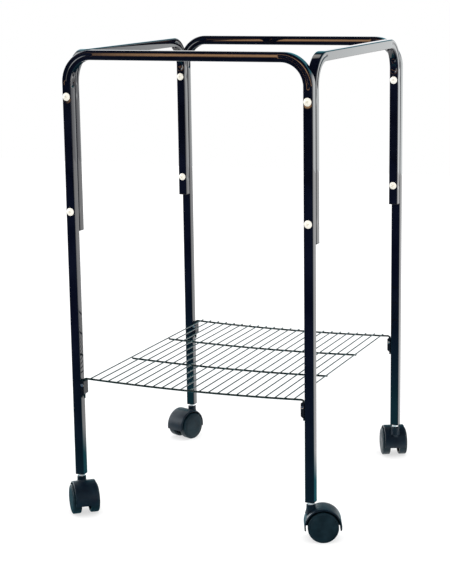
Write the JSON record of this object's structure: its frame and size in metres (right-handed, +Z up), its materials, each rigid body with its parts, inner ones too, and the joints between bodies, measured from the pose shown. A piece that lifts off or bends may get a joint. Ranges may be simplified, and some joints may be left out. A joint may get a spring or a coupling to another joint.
{
  "type": "rolling pet cage stand",
  "caption": "Rolling stand that carries a pet cage: bolted frames of bent square tube with open sides, a wire shelf low down and a hooded twin-wheel caster under each leg.",
  "frame": {"origin": "on the floor, midway between the four legs", "axes": "+X towards the stand's right, +Y towards its back, +Z up"},
  "size_m": [0.5026, 0.5619, 0.776],
  "materials": {
    "black_tube": "gloss",
    "black_bracket": "gloss",
    "coated_wire": "gloss",
    "cream_screws": "gloss",
    "plated_steel": "satin",
    "bright_steel": "polished",
    "black_plastic": "satin",
    "hood_nylon": "satin",
    "wheel_nylon": "matte"
  },
  "bodies": {
    "stand": {"front_frame": "black_tube", "rear_frame": "black_tube", "left_side_frame": "black_tube", "right_side_frame": "black_tube", "frame_screws": "cream_screws", "frame_nuts": "plated_steel", "shelf_front_wire": "coated_wire", "shelf_front_middle_wire": "coated_wire", "shelf_rear_middle_wire": "coated_wire", "shelf_rear_wire": "coated_wire", "shelf_deck_wires": "coated_wire", "shelf_set_screws": "plated_steel", "front_left_side_leg_plug": "black_plastic", "front_left_stem_socket": "black_plastic", "front_left_shelf_bracket": "black_bracket", "front_left_caster_stem": "bright_steel", "front_left_caster_grip_ring": "plated_steel", "front_right_side_leg_plug": "black_plastic", "front_right_stem_socket": "black_plastic", "front_right_shelf_bracket": "black_bracket", "front_right_caster_stem": "bright_steel", "front_right_caster_grip_ring": "plated_steel", "rear_left_side_leg_plug": "black_plastic", "rear_left_stem_socket": "black_plastic", "rear_left_shelf_bracket": "black_bracket", "rear_left_caster_stem": "bright_steel", "rear_left_caster_grip_ring": "plated_steel", "rear_right_side_leg_plug": "black_plastic", "rear_right_stem_socket": "black_plastic", "rear_right_shelf_bracket": "black_bracket", "rear_right_caster_stem": "bright_steel", "rear_right_caster_grip_ring": "plated_steel"},
    "front_left_swivel": {"front_left_caster_hood": "hood_nylon", "front_left_caster_axle": "bright_steel"},
    "front_left_wheel_left": {"front_left_caster_wheel_left": "wheel_nylon"},
    "front_left_wheel_right": {"front_left_caster_wheel_right": "wheel_nylon"},
    "front_right_swivel": {"front_right_caster_hood": "hood_nylon", "front_right_caster_axle": "bright_steel"},
    "front_right_wheel_left": {"front_right_caster_wheel_left": "wheel_nylon"},
    "front_right_wheel_right": {"front_right_caster_wheel_right": "wheel_nylon"},
    "rear_left_swivel": {"rear_left_caster_hood": "hood_nylon", "rear_left_caster_axle": "bright_steel"},
    "rear_left_wheel_left": {"rear_left_caster_wheel_left": "wheel_nylon"},
    "rear_left_wheel_right": {"rear_left_caster_wheel_right": "wheel_nylon"},
    "rear_right_swivel": {"rear_right_caster_hood": "hood_nylon", "rear_right_caster_axle": "bright_steel"},
    "rear_right_wheel_left": {"rear_right_caster_wheel_left": "wheel_nylon"},
    "rear_right_wheel_right": {"rear_right_caster_wheel_right": "wheel_nylon"}
  },
  "joints": [
    {"name": "front_left_swivel_turn", "type": "hinge", "parent": "stand", "child": "front_left_swivel", "pos_m": [-0.207, -0.23, 0.05], "axis": [0, 0, 1], "continuous": true},
    {"name": "front_left_wheel_left_roll", "type": "hinge", "parent": "front_left_swivel", "child": "front_left_wheel_left", "pos_m": [-0.19504, -0.24477, 0.025], "axis": [-0.7771, -0.6293, 0], "continuous": true},
    {"name": "front_left_wheel_right_roll", "type": "hinge", "parent": "front_left_swivel", "child": "front_left_wheel_right", "pos_m": [-0.19504, -0.24477, 0.025], "axis": [-0.7771, -0.6293, 0], "continuous": true},
    {"name": "front_right_swivel_turn", "type": "hinge", "parent": "stand", "child": "front_right_swivel", "pos_m": [0.207, -0.23, 0.05], "axis": [0, 0, 1], "continuous": true},
    {"name": "front_right_wheel_left_roll", "type": "hinge", "parent": "front_right_swivel", "child": "front_right_wheel_left", "pos_m": [0.22462, -0.22288, 0.025], "axis": [0.3746, -0.9272, 0], "continuous": true},
    {"name": "front_right_wheel_right_roll", "type": "hinge", "parent": "front_right_swivel", "child": "front_right_wheel_right", "pos_m": [0.22462, -0.22288, 0.025], "axis": [0.3746, -0.9272, 0], "continuous": true},
    {"name": "rear_left_swivel_turn", "type": "hinge", "parent": "stand", "child": "rear_left_swivel", "pos_m": [-0.207, 0.23, 0.05], "axis": [0, 0, 1], "continuous": true},
    {"name": "rear_left_wheel_left_roll", "type": "hinge", "parent": "rear_left_swivel", "child": "rear_left_wheel_left", "pos_m": [-0.21381, 0.21226, 0.025], "axis": [-0.9336, 0.3584, 0], "continuous": true},
    {"name": "rear_left_wheel_right_roll", "type": "hinge", "parent": "rear_left_swivel", "child": "rear_left_wheel_right", "pos_m": [-0.21381, 0.21226, 0.025], "axis": [-0.9336, 0.3584, 0], "continuous": true},
    {"name": "rear_right_swivel_turn", "type": "hinge", "parent": "stand", "child": "rear_right_swivel", "pos_m": [0.207, 0.23, 0.05], "axis": [0, 0, 1], "continuous": true},
    {"name": "rear_right_wheel_left_roll", "type": "hinge", "parent": "rear_right_swivel", "child": "rear_right_wheel_left", "pos_m": [0.19837, 0.24693, 0.025], "axis": [0.891, 0.454, 0], "continuous": true},
    {"name": "rear_right_wheel_right_roll", "type": "hinge", "parent": "rear_right_swivel", "child": "rear_right_wheel_right", "pos_m": [0.19837, 0.24693, 0.025], "axis": [0.891, 0.454, 0], "continuous": true}
  ]
}
